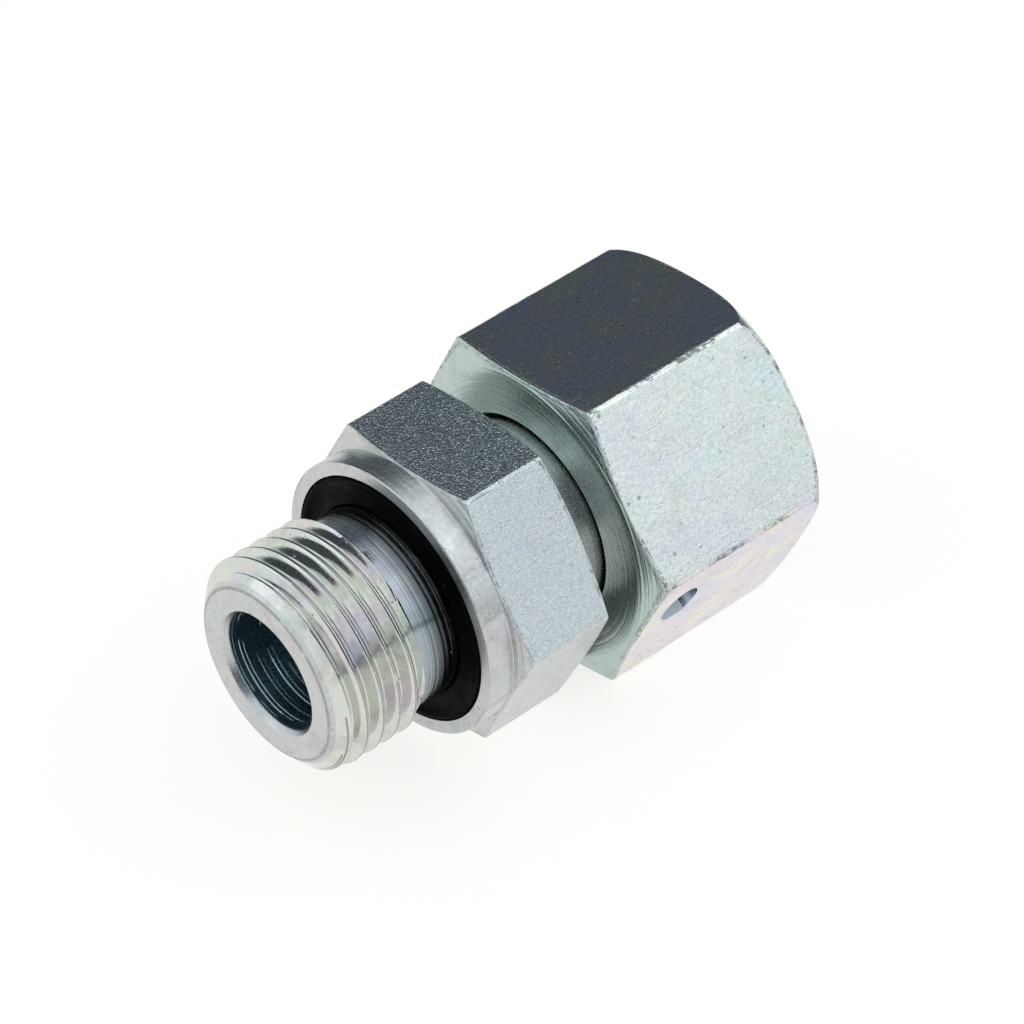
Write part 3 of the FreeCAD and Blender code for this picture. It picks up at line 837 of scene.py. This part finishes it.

# The feed hole is drilled along a tangent of the wire's ring. Shade is painted in it, from a little below its
# mouth.
flat_out = Vector((0, -math.cos(math.radians(30)), -math.sin(math.radians(30))))
flat_up = Vector((0, -math.sin(math.radians(30)), math.cos(math.radians(30))))
hole_mouth = Vector((WIRE_X, 0, 0)) + flat_out * (NUT_FLATS / 2) + flat_up * WIRE_HOLE_OFFSET
mouth_distance = math.hypot(NUT_FLATS / 2, WIRE_HOLE_OFFSET)
hole_lean = math.asin(WIRE_RING_R / mouth_distance) - math.atan2(WIRE_HOLE_OFFSET, NUT_FLATS / 2)
hole_out = flat_out * math.cos(hole_lean) - flat_up * math.sin(hole_lean)
hole_reach = math.sqrt(mouth_distance ** 2 - WIRE_RING_R ** 2)
leaves_ring = hole_mouth - hole_out * hole_reach


def tube_faces(rows, sides):
    """Four-sided faces of a tube whose points run round its sides, row by row."""
    q, j = np.meshgrid(np.arange(rows - 1), np.arange(sides), indexing="ij")
    here = q * sides + j
    beside = q * sides + (j + 1) % sides
    return np.stack([here, beside, beside + sides, here + sides], -1).reshape(-1, 4).tolist()


def drill(name, start, direction, stations, sides=48):
    """Closed turned rod for cutting: circles of radius r at distance d from start along a direction."""
    across = direction.cross(Vector((1, 0, 0))).normalized()
    other = direction.cross(across)
    turn = np.linspace(0, 2 * np.pi, sides, endpoint=False)
    circle = np.cos(turn)[:, None] * np.array(across) + np.sin(turn)[:, None] * np.array(other)
    places = np.concatenate([np.array(start) + d * np.array(direction) + r * circle for d, r in stations])
    faces = [tuple(range(sides))[::-1], tuple(range((len(stations) - 1) * sides, len(stations) * sides))]
    mesh = bpy.data.meshes.new(name)
    mesh.from_pydata((places * MM).tolist(), [], faces + tube_faces(len(stations), sides))
    close_skin(mesh)
    return mesh


HOLE_UNSHADED = 1.5
HOLE_SHADE = 0.85
bit_rings = [(0, WIRE_HOLE_R), (hole_reach - HOLE_UNSHADED, WIRE_HOLE_R), (hole_reach + 4, WIRE_HOLE_R)]
bit = new_object("feed_hole_bit", drill("feed_hole_bit", leaves_ring, hole_out, bit_rings))
blank = new_object("swivel_nut_blank", nut_mesh)
nut_steels = [faced_zinc, pressed_zinc, thread_zinc, drilled_zinc]
for steel in nut_steels:
    nut_mesh.materials.append(steel)
cut = blank.modifiers.new("Feed hole", "BOOLEAN")
cut.operation = "DIFFERENCE"
cut.object = bit
cut.solver = "EXACT"
bpy.context.view_layer.update()
nut_cut = bpy.data.meshes.new_from_object(blank.evaluated_get(bpy.context.evaluated_depsgraph_get()))
nut_cut.name = "swivel_nut_steel"
for made in (bit, blank):
    bpy.data.objects.remove(made)
mark_surface(nut_cut, NUT_FLATS, 0, NUT_CORNER_CUT, NUT_START, nut_flat_start, nut_flat_end, NUT_FILM)


def from_hole(places):
    """How far up the feed hole each place lies from the wire's ring, and how far off the hole's own axis."""
    from_ring = places - np.array(leaves_ring)
    up_hole = from_ring @ np.array(hole_out)
    return up_hole, np.linalg.norm(from_ring - up_hole[:, None] * np.array(hole_out), axis=1)


kinds = np.empty(len(nut_cut.polygons), np.int32)
nut_cut.polygons.foreach_get("material_index", kinds)
nut_cut.materials.clear()
middles = np.empty(len(nut_cut.polygons) * 3)
nut_cut.polygons.foreach_get("center", middles)
up_hole, off_hole = from_hole(middles.reshape(-1, 3) / MM)
kinds[(off_hole < WIRE_HOLE_R + 0.02) & (up_hole > 0)] = 3
nut_cut.polygons.foreach_set("material_index", kinds)
up_hole, off_hole = from_hole(places_in_mm(nut_cut))
shaded_in_hole = (off_hole < WIRE_HOLE_R + 0.02) & (up_hole > -0.5) & (up_hole < hole_reach - HOLE_UNSHADED + 0.1)
write_values(nut_cut, "painted_shade", HOLE_SHADE * shaded_in_hole)
stand("swivel_nut_steel", nut_cut, nut_steels, "nut", "swivel_nut")

# Retaining wire. Round spring steel fed through the hole: most of a turn in the two facing grooves, and a
# straight tail that stays in the hole.
WIRE_R = 1.25
WIRE_ARC = 340.0
WIRE_BELOW_FLAT = 2.6


def wire_tube(name, start, direction, ring_centre, ring_r, arc, tail, section_r):
    """Round section swept along an arc and its tangent, with ends that close in on a point.

    A point is the path plus section_r times the cosine of the section's angle along the spoke and its sine
    along the axis.
    """
    spoke = (np.array(start) - ring_centre) / ring_r
    forward = np.array(direction)
    turn = np.radians(np.linspace(arc, 0, 220))[:, None]
    ring_path = ring_centre + ring_r * (np.cos(turn) * spoke - np.sin(turn) * forward)
    ring_out = np.cos(turn) * spoke - np.sin(turn) * forward
    run = np.linspace(0, tail, 12)[1:, None]
    path = np.concatenate([ring_path, np.array(start) + run * forward])
    out = np.concatenate([ring_out, np.broadcast_to(spoke, (11, 3))])
    path = np.concatenate([path[:1], path[:1], path, path[-1:], path[-1:]])
    out = np.concatenate([out[:1], out[:1], out, out[-1:], out[-1:]])
    width = np.full(len(path), section_r)
    width[[0, -1]] = 0
    width[[1, -2]] = section_r * 0.9
    section = np.linspace(0, 2 * np.pi, 24, endpoint=False)
    axis = np.array([1.0, 0, 0])
    round_path = np.cos(section)[:, None] * out[:, None] + np.sin(section)[:, None] * axis
    places = path[:, None] + width[:, None, None] * round_path
    mesh = bpy.data.meshes.new(name)
    mesh.from_pydata((places.reshape(-1, 3) * MM).tolist(), [], tube_faces(*places.shape[:2]))
    close_skin(mesh, 0.0005)
    return mesh


spring_steel = plated("Spring wire", (0.48, 0.50, 0.52, 1), 0.0, rings=(0.0, 6.0, 0.5, 0.0),
                      grains=(0.002, 6.0, 0.4), rough=(0.25, 0.4))
wire_mesh = wire_tube("retaining_wire_steel", leaves_ring, hole_out, np.array([WIRE_X, 0, 0]), WIRE_RING_R,
                      WIRE_ARC, hole_reach - WIRE_BELOW_FLAT, WIRE_R)
stand("retaining_wire_steel", wire_mesh, [spring_steel], "nut", "retaining_wire")

# Studio. A pale floor at the nut's lowest flat, three soft lamps, a white surround, and sheets round the part
# that
# glow dimly and only its reflections see: painted reflections of a dark room, and a painted shadow under the
# part.
FLOOR_Z = -0.015
FLOOR_HALF = 3.0
FLOOR_LIFT = 0.79


def sees_background(tree):
    """1 for rays that look at the background: from the camera, or by way of a reflection or clear glass."""
    path = add_node(tree, "ShaderNodeLightPath")
    seen = math_node(tree, "MAXIMUM", path.outputs["Is Camera Ray"], path.outputs["Is Glossy Ray"])
    return math_node(tree, "MAXIMUM", seen, path.outputs["Is Transmission Ray"])


floor_mesh = bpy.data.meshes.new("floor")
floor_corners = [(FLOOR_HALF * x, FLOOR_HALF * y, FLOOR_Z) for x, y in ((-1, -1), (1, -1), (1, 1), (-1, 1))]
floor_mesh.from_pydata(floor_corners, [], [(0, 1, 2, 3)])
floor = new_object("floor", floor_mesh)
paper = bpy.data.materials.new("Floor paper")
paper.use_nodes = True
paper_tree = paper.node_tree
paper_shader = paper_tree.nodes["Principled BSDF"]
paper_shader.inputs["Base Color"].default_value = (0.50, 0.49, 0.475, 1)
paper_shader.inputs["Roughness"].default_value = 1.0
paper_shader.inputs["Specular IOR Level"].default_value = 0.0
paper_shader.inputs["Emission Color"].default_value = (1.0, 0.985, 0.965, 1)
lifted = times(paper_tree, sees_background(paper_tree), FLOOR_LIFT)
paper_tree.links.new(lifted, paper_shader.inputs["Emission Strength"])
floor_mesh.materials.append(paper)

CARD_DISTANCE = 0.8


def painted_reflection_card(name, places, colour):
    """Dimly glowing sheet through a grid of places, given as rows of (x, y, z), that only reflections see: a
    painted reflection.
    """
    rows, columns = places.shape[:2]
    q, j = np.meshgrid(np.arange(rows - 1), np.arange(columns - 1), indexing="ij")
    corner = q * columns + j
    faces = np.stack([corner, corner + 1, corner + columns + 1, corner + columns], -1)
    mesh = bpy.data.meshes.new(name)
    mesh.from_pydata(places.reshape(-1, 3).tolist(), [], faces.reshape(-1, 4).tolist())
    card = new_object(name, mesh)
    card_glow = bpy.data.materials.new(name)
    card_glow.use_nodes = True
    shader = card_glow.node_tree.nodes["Principled BSDF"]
    shader.inputs["Base Color"].default_value = (0.01, 0.01, 0.01, 1)
    shader.inputs["Roughness"].default_value = 1.0
    shader.inputs["Specular IOR Level"].default_value = 0.0
    shader.inputs["Emission Color"].default_value = colour
    shader.inputs["Emission Strength"].default_value = 1.0
    mesh.materials.append(card_glow)
    card.visible_camera = False
    card.visible_diffuse = False
    card.visible_shadow = False


def patch_of_room(azimuths, elevations):
    """Grid of places at CARD_DISTANCE from the part, between two azimuths and two elevations."""
    columns = np.radians(np.linspace(*azimuths, 25))
    azimuth, elevation = np.meshgrid(columns, np.radians(np.linspace(*elevations, 17)))
    level = np.cos(elevation)
    return CARD_DISTANCE * np.stack([level * np.cos(azimuth), level * np.sin(azimuth), np.sin(elevation)], -1)


# Painted reflections: dim glowing sheets for the dark room behind, the dark gap over the table, and the
# photographer.
painted_reflection_card("room_behind", patch_of_room((0.0, 88.0), (-0.5, 60.0)), (0.075, 0.095, 0.11, 1))
painted_reflection_card("gap_over_the_table", patch_of_room((-100.0, -20.0), (0.5, 5.0)), (0.20, 0.25, 0.28, 1))
painted_reflection_card("photographer", patch_of_room((-150.0, -106.0), (-0.5, 56.0)), (0.06, 0.085, 0.10, 1))
# A painted shadow of the part on the floor, which only reflections see.
shade_x, shade_y = np.meshgrid(np.linspace(0.009, 0.0374, 2), np.linspace(-0.0045, 0.0095, 2))
painted_reflection_card("shade_under_the_part", np.stack([shade_x, shade_y, np.full_like(shade_x, FLOOR_Z + 0.00005)], -1),
          (0.17, 0.18, 0.155, 1))

world = bpy.data.worlds.new("White surround")
world.use_nodes = True
bpy.context.scene.world = world
surround = world.node_tree.nodes["Background"]
surround.inputs["Color"].default_value = (0.93, 1.0, 1.03, 1)
level_seen = add_node(world.node_tree, "ShaderNodeMapRange", {
    0: sees_background(world.node_tree), 3: 0.40, 4: 1.0})
world.node_tree.links.new(level_seen.outputs[0], surround.inputs["Strength"])


def soft_lamp(name, azimuth, elevation, distance, side, watts, colour):
    """Square area lamp at an azimuth from +X towards +Y and an elevation, turned to the part."""
    lamp = bpy.data.lights.new(name, "AREA")
    lamp.size = side
    lamp.energy = watts
    lamp.color = colour
    holder = new_object(name, lamp)
    a = math.radians(azimuth)
    e = math.radians(elevation)
    away = Vector((math.cos(e) * math.cos(a), math.cos(e) * math.sin(a), math.sin(e)))
    holder.location = away * distance + Vector((0.012, 0, 0))
    holder.rotation_euler = away.to_track_quat("Z", "Y").to_euler()
    return holder


soft_lamp("side_softbox", -52, 38, 0.9, 0.6, 0.36, (0.94, 0.97, 1.0))
soft_lamp("front_softbox", 145, 30, 0.9, 0.5, 0.24, (0.97, 0.98, 1.0))
soft_lamp("overhead_softbox", -35, 66, 1.0, 0.8, 0.50, (1.0, 0.99, 0.98))

CAMERA_TARGET = Vector((0.014252, -0.000361, 0.001674))
CAMERA_DISTANCE = 0.409272
CAMERA_AZIMUTH = -37.949
CAMERA_ELEVATION = 37.501
CAMERA_ROLL = -5.912
CAMERA_LENS = 162.297

camera_data = bpy.data.cameras.new("camera")
camera_data.sensor_width = 36.0
camera_data.lens = CAMERA_LENS
camera_data.clip_start = 0.01
camera = new_object("camera", camera_data)
a = math.radians(CAMERA_AZIMUTH)
e = math.radians(CAMERA_ELEVATION)
roll = math.radians(CAMERA_ROLL)
back = Vector((math.sin(a) * math.cos(e), -math.cos(a) * math.cos(e), math.sin(e)))
level_right = (-back).cross(Vector((0, 0, 1))).normalized()
level_up = level_right.cross(-back)
right = level_right * math.cos(roll) + level_up * math.sin(roll)
up = right.cross(-back)
turned = Matrix((right, up, back)).transposed().to_4x4()
camera.matrix_world = Matrix.Translation(CAMERA_TARGET + back * CAMERA_DISTANCE) @ turned
bpy.context.scene.camera = camera
bpy.context.scene.view_settings.view_transform = "Standard"
